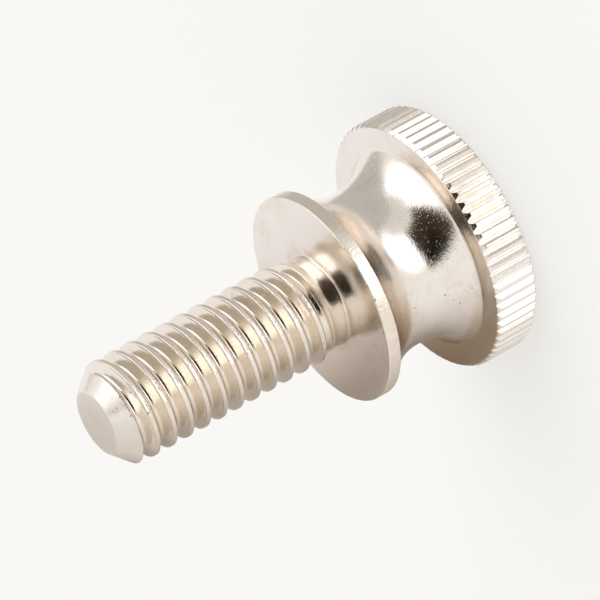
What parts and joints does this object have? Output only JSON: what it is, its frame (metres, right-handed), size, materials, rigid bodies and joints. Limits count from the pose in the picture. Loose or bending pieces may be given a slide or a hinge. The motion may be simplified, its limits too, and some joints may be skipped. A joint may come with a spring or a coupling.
{
  "type": "thumb screw",
  "caption": "Turned thumb screw with a straight-knurled round head, a hollow-sided neck, a thin bearing collar and a threaded shank with a bevelled tip.",
  "frame": {"origin": "centre of the flat top face of the knurled head, on which the screw stands", "axes": "+Z along the screw's axis, from the head to the tip of the thread; +X and +Y are alike apart from where the thread and the knurl start"},
  "size_m": [0.019, 0.019, 0.0309],
  "materials": {
    "nickel_plate": "bright nickel plating, lightly handled"
  },
  "bodies": {
    "root": {"thumb_screw": "nickel_plate"}
  },
  "joints": []
}
